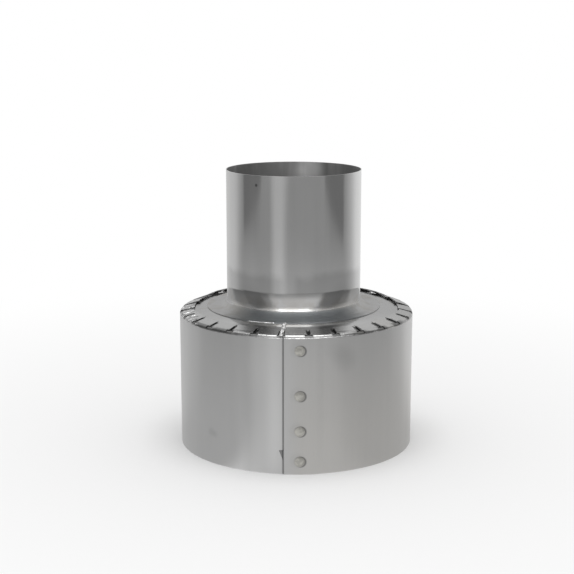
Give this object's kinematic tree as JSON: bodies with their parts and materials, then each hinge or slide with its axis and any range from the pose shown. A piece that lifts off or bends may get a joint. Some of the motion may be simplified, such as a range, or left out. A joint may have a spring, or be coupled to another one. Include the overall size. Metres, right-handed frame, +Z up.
{
  "type": "air intake adapter",
  "caption": "Sheet metal air intake adapter: a wide riveted skirt with its top edge snipped into tabs folded over a ring, and a narrower flanged duct collar on top.",
  "frame": {"origin": "centre of the skirt's open lower rim, on the skirt's axis", "axes": "+Z up along the skirt's axis towards the narrow collar, -Y towards the riveted lap seam"},
  "size_m": [0.1778, 0.1794, 0.2093],
  "materials": {
    "skirt_sheet": "satin rolled steel sheet",
    "ring_sheet": "semi-bright steel sheet",
    "collar_sheet": "semi-bright steel sheet with soft streaks along the pipe",
    "rivet_metal": "dull, slightly warm",
    "solder_metal": "bright crumpled solder"
  },
  "bodies": {
    "root": {"skirt": "skirt_sheet", "cover_ring": "ring_sheet", "collar": "collar_sheet", "seam_rivet_1": "rivet_metal", "seam_rivet_2": "rivet_metal", "seam_rivet_3": "rivet_metal", "seam_rivet_4": "rivet_metal", "seam_solder": "solder_metal"}
  },
  "joints": []
}
